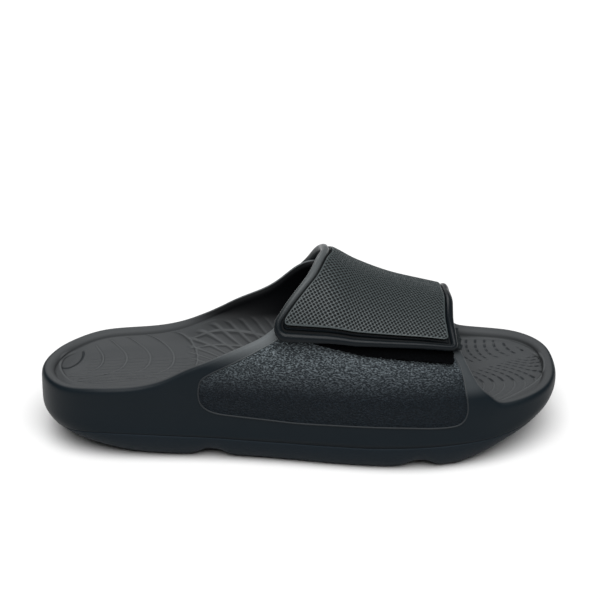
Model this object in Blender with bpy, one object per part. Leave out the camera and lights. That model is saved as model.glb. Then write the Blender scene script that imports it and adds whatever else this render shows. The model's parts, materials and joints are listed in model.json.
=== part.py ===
"""Slide sandal for the right foot: a moulded body with two wings, an outsole and a hook-and-loop strap.

+X points to the toe, +Y to the big-toe side and +Z up. The sandal stands on z = 0, centred on the origin.
"""

import math
from collections import namedtuple

import bmesh
import bpy
import numpy as np

# Driving sizes, in metres
SOLE_LENGTH = 0.2925
BALL_WIDTH = 0.107
RIM_HEIGHT = 0.043  # top of the rim round the heel
BED_HEIGHT = 0.0335  # footbed under the middle of the heel
ARCH_HEIGHT = 0.1015  # top of the arch that wings and strap follow, at the strap's rear edge
ARCH_BASE = 0.022  # height at which the side walls start to lean in
OUTSOLE_HEIGHT = 0.0165  # height of the joint between outsole and body
GAP = 0.0003  # left between pieces that meet

# Body walls
RIM_WIDTH = 0.0075
RIM_CROWN = 0.003
WING_WALL = 0.005
BED_MARGIN = 0.0085  # wall thickness where it runs into the footbed
BED_FILLET = 0.0035
BED_FILLET_RUN = 0.0077  # how far the fillet reaches in over the footbed
LEAST_LIP = 0.001  # least height of the rim over that fillet
WING_RISE = 0.017  # height over the rim in which the wall thins to the wing's
SIDE_FLARE = 0.0024  # how far the foot of the side wall stands out
FLARE_HEIGHT = 0.017

# Outsole
CORNER_RUN = 0.0125  # how far the rounded lower corner reaches in
GROOVE_DEPTH = 0.004
GROOVE_WIDTH = 0.019  # at the floor
GROOVE_TOP_WIDTH = 0.008
HEEL_BEVEL = 0.018  # rise of the tread at the back end of the heel
TOE_SPRING = 0.026  # rise of the tread at the tip of the toe

# Strap
STRAP_WALL = 0.0045
STRAP_WIDTH = 0.0985  # along the foot, at the free end
STRAP_CLEARANCE = 0.0036  # from the outer wing to the inside of the free end
STRAP_SEAT = 0.0006  # from the inner wing to the inside of the fixed end
STRAP_EDGE = 0.0009  # rounding of the strap's edges
BEAD_WIDTH = 0.0047
CHANNEL_WIDTH = 0.0016
CHANNEL_DEPTH = 0.0015
FREE_REAR_CORNER = 0.008
FREE_FRONT_CORNER = 0.0045
FIXED_CORNER = 0.010

# Hook-and-loop pads
LOOP_THICKNESS = 0.0011
HOOK_THICKNESS = 0.0010
PAD_BORDER = 0.0035  # from the strap's free edges to the hook tape
LOOP_BORDER = 0.0015  # the same to the loop pad

LATERAL = -1
MEDIAL = 1

# Seen from above: x from heel to toe as a share of SOLE_LENGTH, both edges as shares of BALL_WIDTH
Plan = namedtuple("Plan", "x lateral medial")
PLAN = [
    Plan(0.000, -0.030, -0.030),
    Plan(0.012, -0.165, 0.130),
    Plan(0.041, -0.275, 0.257),
    Plan(0.086, -0.346, 0.346),
    Plan(0.147, -0.379, 0.379),
    Plan(0.243, -0.388, 0.378),
    Plan(0.345, -0.398, 0.357),
    Plan(0.448, -0.428, 0.370),
    Plan(0.550, -0.467, 0.413),
    Plan(0.653, -0.500, 0.460),
    Plan(0.738, -0.500, 0.494),
    Plan(0.814, -0.463, 0.512),
    Plan(0.875, -0.404, 0.508),
    Plan(0.930, -0.316, 0.472),
    Plan(0.971, -0.200, 0.394),
    Plan(0.994, -0.050, 0.288),
    Plan(1.000, 0.121, 0.121),
]

# The line on which the sections of both sides end, as shares of BALL_WIDTH
Spine = namedtuple("Spine", "x across")
SPINE = [
    Spine(0.00, -0.010),
    Spine(0.14, -0.010),
    Spine(0.30, 0.056),
    Spine(0.80, 0.056),
    Spine(0.87, 0.090),
    Spine(1.00, 0.121),
]
HEEL_FAN = 0.135  # shares of SOLE_LENGTH where the round ends of the plan start
TOE_FAN = 0.868

# Heights of the joint line, and of the widest part of the side where the lower corner starts to
# tuck in, both as shares of OUTSOLE_HEIGHT
Joint = namedtuple("Joint", "x joint widest")
JOINT_LINE = [
    Joint(0.00, 0.80, 1.27),
    Joint(0.04, 0.88, 1.20),
    Joint(0.14, 1.06, 1.08),
    Joint(0.31, 0.97, 0.97),
    Joint(0.45, 0.91, 0.91),
    Joint(0.60, 0.91, 0.91),
    Joint(0.73, 0.98, 0.98),
    Joint(0.86, 1.04, 1.06),
    Joint(0.92, 1.18, 1.32),
    Joint(1.00, 1.55, 1.88),
]
# Rise of the tread, as shares of HEEL_BEVEL and TOE_SPRING
Lift = namedtuple("Lift", "x heel toe")
TREAD_LIFT = [
    Lift(0.00, 1.00, 0.00),
    Lift(0.03, 0.77, 0.00),
    Lift(0.06, 0.57, 0.00),
    Lift(0.10, 0.35, 0.00),
    Lift(0.14, 0.19, 0.00),
    Lift(0.19, 0.06, 0.00),
    Lift(0.26, 0.00, 0.00),
    Lift(0.79, 0.00, 0.00),
    Lift(0.83, 0.00, 0.10),
    Lift(0.87, 0.00, 0.28),
    Lift(0.91, 0.00, 0.48),
    Lift(0.95, 0.00, 0.70),
    Lift(1.00, 0.00, 1.00),
]
GROOVE_PLACES = (0.334, 0.723)  # middles of the two flex grooves, shares of SOLE_LENGTH

# Lower edge of the side: how far the tread's edge lies in from the wall, as shares of CORNER_RUN,
# and how far the wall stands out above it, as shares of SIDE_FLARE
Corner = namedtuple("Corner", "x run flare")
LOWER_EDGE = [
    Corner(0.00, 1.70, 0.00),
    Corner(0.03, 1.60, 0.20),
    Corner(0.12, 1.18, 0.80),
    Corner(0.25, 0.97, 1.00),
    Corner(0.40, 0.95, 1.00),
    Corner(0.60, 0.72, 1.00),
    Corner(0.72, 0.76, 1.00),
    Corner(0.82, 0.95, 0.95),
    Corner(0.90, 1.07, 0.70),
    Corner(0.96, 1.16, 0.30),
    Corner(1.00, 1.20, 0.00),
]

# Footbed heights, as shares of BED_HEIGHT: along the middle and at either edge
Bed = namedtuple("Bed", "x middle lateral medial")
BED = [
    Bed(0.00, 0.98, 1.02, 1.02),
    Bed(0.10, 0.97, 1.04, 1.06),
    Bed(0.20, 0.97, 1.07, 1.18),
    Bed(0.30, 0.96, 1.14, 1.40),
    Bed(0.42, 0.92, 1.14, 1.55),
    Bed(0.52, 0.87, 1.08, 1.46),
    Bed(0.64, 0.79, 0.93, 1.12),
    Bed(0.78, 0.76, 0.83, 0.88),
    Bed(0.88, 0.80, 0.86, 0.87),
    Bed(1.00, 0.90, 0.93, 0.93),
]
BED_HOLLOW = 2.2  # how sharply the footbed turns up at its edges

# Top edge of the rim and the wings, as shares of RIM_HEIGHT up to the wings' feet
# and as shares of the arch's height above ARCH_BASE on the wings
Edge = namedtuple("Edge", "x rim wing")
LATERAL_EDGE = [
    Edge(0.00, 0.93, 0.00),
    Edge(0.05, 0.94, 0.00),
    Edge(0.11, 0.99, 0.00),
    Edge(0.19, 1.03, 0.00),
    Edge(0.24, 1.11, 0.00),
    Edge(0.29, 0.00, 0.368),
    Edge(0.32, 0.00, 0.405),
    Edge(0.36, 0.00, 0.463),
    Edge(0.40, 0.00, 0.530),
    Edge(0.44, 0.00, 0.612),
    Edge(0.47, 0.00, 0.720),
    Edge(0.50, 0.00, 0.820),
    Edge(0.54, 0.00, 0.875),
    Edge(0.76, 0.00, 0.880),
    Edge(0.786, 0.00, 0.860),
    Edge(0.800, 0.00, 0.810),
    Edge(0.812, 0.00, 0.690),
    Edge(0.824, 0.00, 0.590),
    Edge(0.838, 0.00, 0.480),
    Edge(0.853, 0.00, 0.410),
    Edge(0.870, 0.830, 0.00),
    Edge(0.900, 0.825, 0.00),
    Edge(1.000, 0.825, 0.00),
]
MEDIAL_EDGE = [
    Edge(0.00, 0.93, 0.00),
    Edge(0.05, 0.94, 0.00),
    Edge(0.11, 0.99, 0.00),
    Edge(0.20, 1.02, 0.00),
    Edge(0.26, 1.09, 0.00),
    Edge(0.30, 0.00, 0.335),
    Edge(0.34, 0.00, 0.400),
    Edge(0.38, 0.00, 0.475),
    Edge(0.42, 0.00, 0.545),
    Edge(0.45, 0.00, 0.610),
    Edge(0.48, 0.00, 0.735),
    Edge(0.51, 0.00, 0.845),
    Edge(0.54, 0.00, 0.880),
    Edge(0.73, 0.00, 0.880),
    Edge(0.755, 0.00, 0.850),
    Edge(0.770, 0.00, 0.740),
    Edge(0.784, 0.00, 0.590),
    Edge(0.798, 0.00, 0.450),
    Edge(0.813, 0.00, 0.350),
    Edge(0.832, 0.880, 0.00),
    Edge(0.870, 0.855, 0.00),
    Edge(0.950, 0.845, 0.00),
    Edge(1.000, 0.825, 0.00),
]

# Ridge of the arch, as shares of ARCH_HEIGHT
Ridge = namedtuple("Ridge", "x height")
RIDGE = [
    Ridge(0.00, 1.10),
    Ridge(0.36, 1.10),
    Ridge(0.45, 1.06),
    Ridge(0.545, 1.00),
    Ridge(0.60, 0.911),
    Ridge(0.67, 0.823),
    Ridge(0.74, 0.764),
    Ridge(0.79, 0.724),
    Ridge(0.84, 0.680),
    Ridge(0.91, 0.740),
    Ridge(1.00, 0.900),
]
ARCH_FULLNESS = 2.2  # 2 is an ellipse, more is squarer

# Strap edges: the long edges as x shares of SOLE_LENGTH by how far round the foot they lie,
# and the ends as turns about the arch, in degrees, by how far across the strap they lie
LongEdge = namedtuple("LongEdge", "round rear front")
STRAP_LONG_EDGES = [
    LongEdge(0.00, 0.446, 0.786),
    LongEdge(0.07, 0.455, 0.784),
    LongEdge(0.13, 0.472, 0.781),
    LongEdge(0.20, 0.493, 0.777),
    LongEdge(0.27, 0.511, 0.775),
    LongEdge(0.36, 0.524, 0.774),
    LongEdge(0.48, 0.536, 0.776),
    LongEdge(0.58, 0.535, 0.779),
    LongEdge(0.68, 0.526, 0.781),
    LongEdge(0.78, 0.513, 0.783),
    LongEdge(0.86, 0.492, 0.785),
    LongEdge(0.93, 0.468, 0.787),
    LongEdge(1.00, 0.448, 0.788),
]
ShortEdge = namedtuple("ShortEdge", "across free fixed")
STRAP_SHORT_EDGES = [
    ShortEdge(0.00, 34.5, 155.0),
    ShortEdge(0.20, 35.5, 154.0),
    ShortEdge(0.40, 38.5, 152.0),
    ShortEdge(0.69, 43.0, 147.0),
    ShortEdge(1.00, 44.5, 143.0),
]
# Height of the strap's inside over the arch, as shares of STRAP_CLEARANCE and STRAP_SEAT
Stand = namedtuple("Stand", "round free fixed")
STRAP_STAND = [
    Stand(0.00, 1.00, 0.00),
    Stand(0.33, 1.00, 0.00),
    Stand(0.54, 0.00, 1.00),
    Stand(1.00, 0.00, 1.00),
]

# Part of the arch that the hook-and-loop pads cover, seen from the strap's free end
PAD_ROUND = 0.20
PAD_ROWS = 5
PAD_COLUMNS = 12

# Mesh density
SECTION_PLACES = (
    (HEEL_FAN, 0.28, 5),
    (0.28, 0.54, 10),
    (0.54, 0.76, 6),
    (0.76, TOE_FAN, 9),
)
HEEL_FAN_SECTIONS = 13
TOE_FAN_SECTIONS = 15
WALL_STEPS = 8
TIP_STEPS = 6
CORNER_STEPS = 5
BED_STEPS = (0.05, 0.11, 0.20, 0.34, 0.50, 0.67, 0.84, 1.0)
STRAP_SIDE_SECTIONS = 21
STRAP_END_SECTIONS = 7
STRAP_CORNER_STEPS = 4
STRAP_FACE_STEPS = (0.2, 0.4, 0.6, 0.8, 1.0)  # rings between the strap's border and its middle

Section = namedtuple("Section", "rim spine side")


def smooth_curve(places, values):
    """A cubic curve through the values that never swings past them."""
    places = np.asarray(places, float)
    values = np.asarray(values, float)
    spans = np.diff(places)
    slopes = np.diff(values) / spans
    tangents = np.zeros(len(places))
    for i in range(1, len(places) - 1):
        before, after = slopes[i - 1], slopes[i]
        if before * after > 0:
            weight_before = 2 * spans[i] + spans[i - 1]
            weight_after = spans[i] + 2 * spans[i - 1]
            tangents[i] = (weight_before + weight_after) / (weight_before / before + weight_after / after)
    tangents[0], tangents[-1] = slopes[0], slopes[-1]

    def at(place):
        place = np.clip(place, places[0], places[-1])
        i = np.clip(np.searchsorted(places, place) - 1, 0, len(spans) - 1)
        t = (place - places[i]) / spans[i]
        start = (1 + 2 * t) * (1 - t) ** 2 * values[i] + t * (1 - t) ** 2 * spans[i] * tangents[i]
        end = t * t * (3 - 2 * t) * values[i + 1] + t * t * (t - 1) * spans[i] * tangents[i + 1]
        return start + end

    return at


def column(table, name):
    """One column of a table as a smooth curve over its first column."""
    return smooth_curve([row[0] for row in table], [getattr(row, name) for row in table])


def along(share):
    """x of a share of the length, measured from the heel."""
    return (share - 0.5) * SOLE_LENGTH


def share_of(x):
    return x / SOLE_LENGTH + 0.5


def closed_curve(points, steps):
    """A smooth closed curve through the points, as an array of points."""
    points = np.asarray(points, float)
    count = len(points)
    spans = np.linalg.norm(np.roll(points, -1, axis=0) - points, axis=1)
    curve = []
    for i in range(count):
        here, ahead = points[i], points[(i + 1) % count]
        span = spans[i]
        leaving = (ahead - points[i - 1]) / (spans[i - 1] + span)
        arriving = (points[(i + 2) % count] - here) / (span + spans[(i + 1) % count])
        for t in np.arange(steps) / steps:
            start = (1 + 2 * t) * (1 - t) ** 2 * here + t * (1 - t) ** 2 * span * leaving
            end = t * t * (3 - 2 * t) * ahead + t * t * (t - 1) * span * arriving
            curve.append(start + end)
    return np.array(curve)


def plan_sides():
    """Both edges of the plan, each from the heel's tip to the toe's."""
    lateral = [(along(row.x), row.lateral * BALL_WIDTH) for row in PLAN]
    medial = [(along(row.x), row.medial * BALL_WIDTH) for row in PLAN[1:-1]]
    steps = 12
    curve = closed_curve(lateral + medial[::-1], steps)
    tip = (len(PLAN) - 1) * steps
    return {LATERAL: curve[: tip + 1], MEDIAL: np.vstack([curve[:1], curve[tip:][::-1]])}


SIDES = plan_sides()
spine_across = column(SPINE, "across")
joint_height = column(JOINT_LINE, "joint")
widest_height = column(JOINT_LINE, "widest")
heel_lift = column(TREAD_LIFT, "heel")
toe_lift = column(TREAD_LIFT, "toe")
corner_run = column(LOWER_EDGE, "run")
flare_share = column(LOWER_EDGE, "flare")
ridge_height = column(RIDGE, "height")
bed_middle = column(BED, "middle")
bed_edge = {LATERAL: column(BED, "lateral"), MEDIAL: column(BED, "medial")}
long_rear = column(STRAP_LONG_EDGES, "rear")
long_front = column(STRAP_LONG_EDGES, "front")
short_free = column(STRAP_SHORT_EDGES, "free")
short_fixed = column(STRAP_SHORT_EDGES, "fixed")
stand_free = column(STRAP_STAND, "free")
stand_fixed = column(STRAP_STAND, "fixed")


def edge_y(x, side):
    return np.interp(x, SIDES[side][:, 0], SIDES[side][:, 1])


def spine_y(x):
    return spine_across(share_of(x)) * BALL_WIDTH


def arch_ridge(x):
    return ridge_height(share_of(x)) * ARCH_HEIGHT


def joint_z(x):
    return joint_height(share_of(x)) * OUTSOLE_HEIGHT


def widest_z(x):
    return widest_height(share_of(x)) * OUTSOLE_HEIGHT


def groove_z(x):
    """Height of the flex grooves above the tread."""
    lift = 0.0
    for place in GROOVE_PLACES:
        reach = abs(x - along(place))
        slope = (GROOVE_WIDTH / 2 - reach) / (GROOVE_WIDTH / 2 - GROOVE_TOP_WIDTH / 2)
        lift = max(lift, GROOVE_DEPTH * float(np.clip(slope, 0, 1)))
    return lift


def tread_z(x):
    share = share_of(x)
    return heel_lift(share) * HEEL_BEVEL + toe_lift(share) * TOE_SPRING + groove_z(x)


def top_edge(table):
    """Height of the rim and wings along one side."""
    places = [row.x for row in table]
    heights = []
    for row in table:
        if row.wing:
            heights.append(ARCH_BASE + row.wing * (arch_ridge(along(row.x)) - ARCH_BASE))
        else:
            heights.append(row.rim * RIM_HEIGHT)
    return smooth_curve(places, heights)


TOP_EDGE = {LATERAL: top_edge(LATERAL_EDGE), MEDIAL: top_edge(MEDIAL_EDGE)}


def fan_sections(x, direction, count):
    """Sections round one end of the plan, from the lateral to the medial side, without its two outer ones."""
    spine = (x, float(spine_y(x)))
    points, turns = [], []
    for side in (LATERAL, MEDIAL):
        edge = SIDES[side][(SIDES[side][:, 0] - x) * direction > 0]
        turn = np.arctan2(edge[:, 1] - spine[1], (edge[:, 0] - x) * direction)
        points.append(edge)
        turns.append(turn)
    points, turns = np.vstack(points), np.concatenate(turns)
    order = np.argsort(turns)
    points, turns = points[order], turns[order]
    sections = []
    for turn in np.linspace(-math.pi / 2, math.pi / 2, count + 2)[1:-1]:
        rim = (float(np.interp(turn, turns, points[:, 0])), float(np.interp(turn, turns, points[:, 1])))
        sections.append(Section(rim, spine, LATERAL if turn < 0 else MEDIAL))
    return sections


def side_places():
    """x of the sections between the two fans, with one at each corner of each flex groove."""
    places = []
    for start, end, count in SECTION_PLACES:
        places += list(along(np.linspace(start, end, count + 1)))
    corners = []
    for place in GROOVE_PLACES:
        for reach in (GROOVE_WIDTH / 2, GROOVE_TOP_WIDTH / 2):
            corners += [along(place) - reach, along(place) + reach]
    kept = [x for x in places if min(abs(x - corner) for corner in corners) > GROOVE_TOP_WIDTH / 3]
    kept += [places[0], places[-1]] + corners
    return sorted({round(float(x), 6) for x in kept})


def ring_sections():
    """Sections right round the plan: lateral side, toe, medial side, heel."""
    places = side_places()
    sides = {}
    for side in (LATERAL, MEDIAL):
        sides[side] = [Section((x, float(edge_y(x, side))), (x, float(spine_y(x))), side) for x in places]
    toe = fan_sections(places[-1], 1, TOE_FAN_SECTIONS)
    heel = fan_sections(places[0], -1, HEEL_FAN_SECTIONS)
    return sides[LATERAL] + toe + sides[MEDIAL][::-1] + heel[::-1]


def lean(x, z):
    """Share of the way to the spine that the outer wall has leaned in at height z."""
    height = np.clip((z - ARCH_BASE) / (arch_ridge(x) - ARCH_BASE), 0, 0.999)
    return 1 - (1 - height**ARCH_FULLNESS) ** (1 / ARCH_FULLNESS)


def flare(x, z):
    """How far the wall stands out at height z: most at its widest part and less above it."""
    fall = np.clip(1 - (z - widest_z(x)) / FLARE_HEIGHT, 0, 1)
    return SIDE_FLARE * flare_share(share_of(x)) * fall**2


def placed(section, inward, z):
    """The point of a section that lies a distance inward of the plan's edge."""
    rim, spine = np.array(section.rim), np.array(section.spine)
    reach = np.linalg.norm(spine - rim)
    x, y = rim + (spine - rim) * (inward / reach)
    return (x, y, z)


def lower_corner(section):
    """The rounded lower corner of a section: where it starts and how far it runs in and down."""
    x = section.rim[0]
    edge = -flare(x, widest_z(x))
    run = corner_run(share_of(x)) * CORNER_RUN
    floor = tread_z(placed(section, edge + run, 0)[0])
    return edge, run, widest_z(x), floor


def tuck(corner, z):
    """How far the lower corner has turned in at height z."""
    _, run, high, low = corner
    fall = np.clip((high - z) / (high - low), 0, 1)
    return run * (1 - math.sqrt(1 - fall**2))


def bed_z(section, inward, edge_inward, reach, edge):
    """Footbed height: lowest along the middle and turned up into the wall."""
    x = placed(section, inward, 0)[0]
    middle = bed_middle(share_of(x)) * BED_HEIGHT
    outward = 1 - (inward - edge_inward) / (reach - edge_inward)
    fillet = max(0.0, 1 - (inward - edge_inward) / BED_FILLET_RUN)
    return middle + (edge - middle) * outward**BED_HOLLOW + BED_FILLET * fillet**2


def body_points(section):
    """One section of the body, from the middle of its underside, up the wall and over to the middle of the footbed."""
    x = section.rim[0]
    reach = math.dist(section.rim, section.spine)
    base = joint_z(x) + GAP / 2
    top = float(TOP_EDGE[section.side](share_of(x)))
    corner = lower_corner(section)

    def outer(z):
        return np.array([reach * lean(x, z) - flare(x, z) + tuck(corner, z), z])

    def direction(z):
        step = outer(z) - outer(z - 0.0005)
        return step / np.linalg.norm(step)

    rise = (top - RIM_HEIGHT) / WING_RISE
    wall = RIM_WIDTH + (WING_WALL - RIM_WIDTH) * float(np.clip(rise, 0, 1))
    up = direction(top)
    shoulder = top - RIM_CROWN * up[1]
    points = [placed(section, reach, joint_z(section.spine[0]) + GAP / 2)]
    halfway = placed(section, reach / 2, 0)
    points.append((halfway[0], halfway[1], joint_z(halfway[0]) + GAP / 2))
    for z in np.linspace(base, shoulder, WALL_STEPS + 1):
        inward, height = outer(z)
        points.append(placed(section, inward, height))

    start, up = outer(shoulder), direction(shoulder)
    across = np.array([up[1], -up[0]])
    for turn in np.linspace(0, math.pi, TIP_STEPS + 1)[1:]:
        tip = start + across * wall / 2 * (1 - math.cos(turn)) + up * RIM_CROWN * math.sin(turn)
        points.append(placed(section, *tip))

    bed = min(bed_edge[section.side](share_of(x)) * BED_HEIGHT, shoulder - BED_FILLET - LEAST_LIP)
    foot = bed + BED_FILLET
    for z in np.linspace(shoulder, foot, WALL_STEPS)[1:]:
        up = direction(z)
        across = np.array([up[1], -up[0]])
        spread = (shoulder - z) / (shoulder - foot)
        thickness = wall + (BED_MARGIN - wall) * spread**2
        inward, height = outer(z) + across * thickness
        points.append(placed(section, inward, height))
    edge_inward = inward
    for share in BED_STEPS:
        inward = edge_inward + (reach - edge_inward) * share
        points.append(placed(section, inward, bed_z(section, inward, edge_inward, reach, bed)))
    return points


def outsole_points(section):
    """One section of the outsole, from the middle of its top, round its lower corner to the middle of the tread."""
    reach = math.dist(section.rim, section.spine)
    top = joint_z(section.rim[0]) - GAP / 2
    edge, run, high, low = lower_corner(section)
    start = math.asin(np.clip((high - top) / (high - low), 0, 1))
    points = [placed(section, reach, joint_z(section.spine[0]) - GAP / 2)]
    halfway = placed(section, reach / 2, 0)
    points.append((halfway[0], halfway[1], joint_z(halfway[0]) - GAP / 2))
    for turn in np.linspace(start, math.pi / 2, CORNER_STEPS + 1):
        inward = edge + run * (1 - math.cos(turn))
        points.append(placed(section, inward, high - (high - low) * math.sin(turn)))
    for share in (0.5, 1.0):
        x_in, y_in, _ = placed(section, edge + run + (reach - edge - run) * share, 0)
        points.append((x_in, y_in, tread_z(x_in)))
    return points


def arch_point(x, turn):
    """The point of the arch at x, turned from its lateral foot, in radians."""
    side = LATERAL if turn <= math.pi / 2 else MEDIAL
    middle = spine_y(x)
    out = abs(math.cos(turn)) ** (2 / ARCH_FULLNESS)
    up = max(math.sin(turn), 0.0) ** (2 / ARCH_FULLNESS)
    y = middle + (edge_y(x, side) - middle) * out
    return np.array([x, y, ARCH_BASE + (arch_ridge(x) - ARCH_BASE) * up])


def over_arch(x, turn, height):
    """The point at a height over the arch, square to it."""
    step_x, step_turn = 0.001, 0.02
    along_foot = arch_point(x + step_x, turn) - arch_point(x - step_x, turn)
    round_foot = arch_point(x, turn + step_turn) - arch_point(x, turn - step_turn)
    outward = np.cross(along_foot, round_foot)
    outward /= np.linalg.norm(outward)
    return arch_point(x, turn) + outward * height


def strap_frame(around, across):
    """x and turn of a place on the strap, both given from 0 to 1."""
    rear, front = along(long_rear(around)), along(long_front(around))
    free, fixed = short_free(across), short_fixed(across)
    return rear + (front - rear) * across, math.radians(free + (fixed - free) * around)


def strap_stand(around):
    return stand_free(around) * STRAP_CLEARANCE + stand_fixed(around) * STRAP_SEAT


def strap_length_curve():
    """Length round the foot along the strap's middle, and the place from 0 to 1 where each length is reached."""
    places = np.linspace(0, 1, 61)
    points = np.array([arch_point(*strap_frame(place, 0.5)) for place in places])
    steps = np.linalg.norm(np.diff(points, axis=0), axis=1)
    return np.concatenate([[0], np.cumsum(steps)]), places


STRAP_RUN, STRAP_PLACES = strap_length_curve()
STRAP_LENGTH = float(STRAP_RUN[-1])
BORDER_ZONE = 0.012  # next to the strap's edges, where distances are kept exact


def spread(distance, nominal, real):
    """Share of a real width for a distance measured on the nominal width, exact near both edges."""
    edge = BORDER_ZONE / real
    return float(np.interp(distance, [0, BORDER_ZONE, nominal - BORDER_ZONE, nominal], [0, edge, 1 - edge, 1]))


def strap_place(run, width):
    """Place on the strap, both from 0 to 1, for distances from its free end and its rear edge."""
    around = float(np.interp(run, STRAP_RUN, STRAP_PLACES))
    real = along(long_front(around)) - along(long_rear(around))
    return around, spread(width, STRAP_WIDTH, real)


def strap_outline(inset):
    """The strap's outline moved in by an inset, as places from 0 to 1, in the same order for every inset."""
    corners = [
        (0, 0, FREE_REAR_CORNER),
        (0, STRAP_WIDTH, FREE_FRONT_CORNER),
        (STRAP_LENGTH, STRAP_WIDTH, FIXED_CORNER),
        (STRAP_LENGTH, 0, FIXED_CORNER),
    ]
    sides = [
        ("width", STRAP_END_SECTIONS),
        ("run", STRAP_SIDE_SECTIONS),
        ("width", STRAP_END_SECTIONS),
        ("run", STRAP_SIDE_SECTIONS),
    ]
    places = []
    for number, (run, width, radius) in enumerate(corners):
        left = max(radius - inset, STRAP_EDGE / 2)
        middle_run = run + (1 if run == 0 else -1) * (inset + left)
        middle_width = width + (1 if width == 0 else -1) * (inset + left)
        for step in range(STRAP_CORNER_STEPS + 1):
            turn = math.pi / 2 * (number + 1 + step / STRAP_CORNER_STEPS)
            places.append((middle_run + left * math.cos(turn), middle_width - left * math.sin(turn)))
        kind, count = sides[number]
        next_run, next_width = corners[(number + 1) % 4][:2]
        for step in range(1, count + 1):
            share = step / (count + 1)
            if kind == "width":
                start, end = (BORDER_ZONE, STRAP_WIDTH - BORDER_ZONE)
                at = start + (end - start) * share
                at = at if next_width > width else STRAP_WIDTH - at
                places.append((run + (inset if run == 0 else -inset), at))
            else:
                start, end = (BORDER_ZONE, STRAP_LENGTH - BORDER_ZONE)
                at = start + (end - start) * share
                at = at if next_run > run else STRAP_LENGTH - at
                places.append((at, width + (inset if width == 0 else -inset)))
    return places


def strap_rings():
    """Rings of the strap from the middle of its inside, round its edge and over to the middle of its outside."""
    top = STRAP_WALL
    channel = BEAD_WIDTH + CHANNEL_WIDTH
    # inset from the outline, height over the strap's inside
    profile = [
        (3 * STRAP_EDGE, 0),
        (STRAP_EDGE, 0),
        (0, STRAP_EDGE),
        (0, top - 1.6 * STRAP_EDGE),
        (0.35 * STRAP_EDGE, top - 0.7 * STRAP_EDGE),
        (1.3 * STRAP_EDGE, top - 0.15 * STRAP_EDGE),
        (0.5 * BEAD_WIDTH, top),
        (BEAD_WIDTH - STRAP_EDGE, top - 0.2 * STRAP_EDGE),
        (BEAD_WIDTH, top - CHANNEL_DEPTH),
        (channel, top - CHANNEL_DEPTH),
        (channel + 0.5 * STRAP_EDGE, top - 0.3 * STRAP_EDGE),
        (channel + 1.6 * STRAP_EDGE, top),
    ]
    half = STRAP_WIDTH / 2
    end_reach = 1.5 * BORDER_ZONE
    inside = [(share, 0) for share in STRAP_FACE_STEPS[::-1]]
    outside = [(share, top) for share in STRAP_FACE_STEPS]

    def to_middle(place, share):
        run, width = place
        middle = (min(max(run, end_reach), STRAP_LENGTH - end_reach), half)
        return (run + (middle[0] - run) * share, width + (middle[1] - width) * share)

    rings = []
    inner_border = strap_outline(profile[0][0])
    outer_border = strap_outline(profile[-1][0])
    for share, height in inside:
        rings.append([(to_middle(place, share), height) for place in inner_border])
    for inset, height in profile:
        rings.append([(place, height) for place in strap_outline(inset)])
    for share, height in outside:
        rings.append([(to_middle(place, share), height) for place in outer_border])
    return rings


def strap_point(place, height):
    around, across = strap_place(*place)
    x, turn = strap_frame(around, across)
    return over_arch(x, turn, strap_stand(around) + height)


def mesh_object(name, verts, faces, collection, material):
    mesh = bpy.data.meshes.new(name)
    mesh.from_pydata([tuple(map(float, vert)) for vert in verts], [], faces)
    work = bmesh.new()
    work.from_mesh(mesh)
    bmesh.ops.remove_doubles(work, verts=work.verts, dist=1e-6)
    bmesh.ops.recalc_face_normals(work, faces=work.faces)
    bmesh.ops.triangulate(work, faces=[face for face in work.faces if len(face.verts) > 4])
    work.to_mesh(mesh)
    work.free()
    mesh.materials.append(material)
    mesh.shade_smooth()
    mesh.set_sharp_from_angle(angle=math.radians(40))
    piece = bpy.data.objects.new(name, mesh)
    collection.objects.link(piece)
    return piece


def lofted(name, rows, collection, material):
    """A closed solid from rows of points: each row is one section, and the last row joins the first."""
    width = len(rows[0])
    verts = [point for row in rows for point in row]
    faces = []
    for i in range(len(rows)):
        after = (i + 1) % len(rows)
        for j in range(width - 1):
            faces.append((i * width + j, i * width + j + 1, after * width + j + 1, after * width + j))
    return mesh_object(name, verts, faces, collection, material)


def build_body(collection, material):
    rows = [body_points(section) for section in ring_sections()]
    return lofted("moulded_body", rows, collection, material)


def build_outsole(collection, material):
    rows = [outsole_points(section) for section in ring_sections()]
    return lofted("outsole", rows, collection, material)


def build_strap(collection, material):
    rings = strap_rings()
    rows = [[strap_point(*ring[i]) for ring in rings] for i in range(len(rings[0]))]
    return lofted("strap", rows, collection, material)


def build_pad(name, border, low, high, collection, material):
    """A thin pad between two heights over the arch, under the strap's free end."""
    first = border / STRAP_LENGTH
    edge = border / STRAP_WIDTH
    cells = {}
    verts, faces = [], []
    for level, height in enumerate((low, high)):
        for i in range(PAD_ROWS + 1):
            for j in range(PAD_COLUMNS + 1):
                around = first + (PAD_ROUND - first) * i / PAD_ROWS
                across = edge + (1 - 2 * edge) * j / PAD_COLUMNS
                cells[level, i, j] = len(verts)
                verts.append(over_arch(*strap_frame(around, across), height))
    for level in (0, 1):
        for i in range(PAD_ROWS):
            for j in range(PAD_COLUMNS):
                corners = ((i, j), (i + 1, j), (i + 1, j + 1), (i, j + 1))
                faces.append([cells[level, a, b] for a, b in corners])
    border_walk = [(i, 0) for i in range(PAD_ROWS)]
    border_walk += [(PAD_ROWS, j) for j in range(PAD_COLUMNS)]
    border_walk += [(i, PAD_COLUMNS) for i in range(PAD_ROWS, 0, -1)]
    border_walk += [(0, j) for j in range(PAD_COLUMNS, 0, -1)]
    for here, ahead in zip(border_walk, border_walk[1:] + border_walk[:1]):
        faces.append([cells[0, *here], cells[0, *ahead], cells[1, *ahead], cells[1, *here]])
    return mesh_object(name, verts, faces, collection, material)


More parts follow.
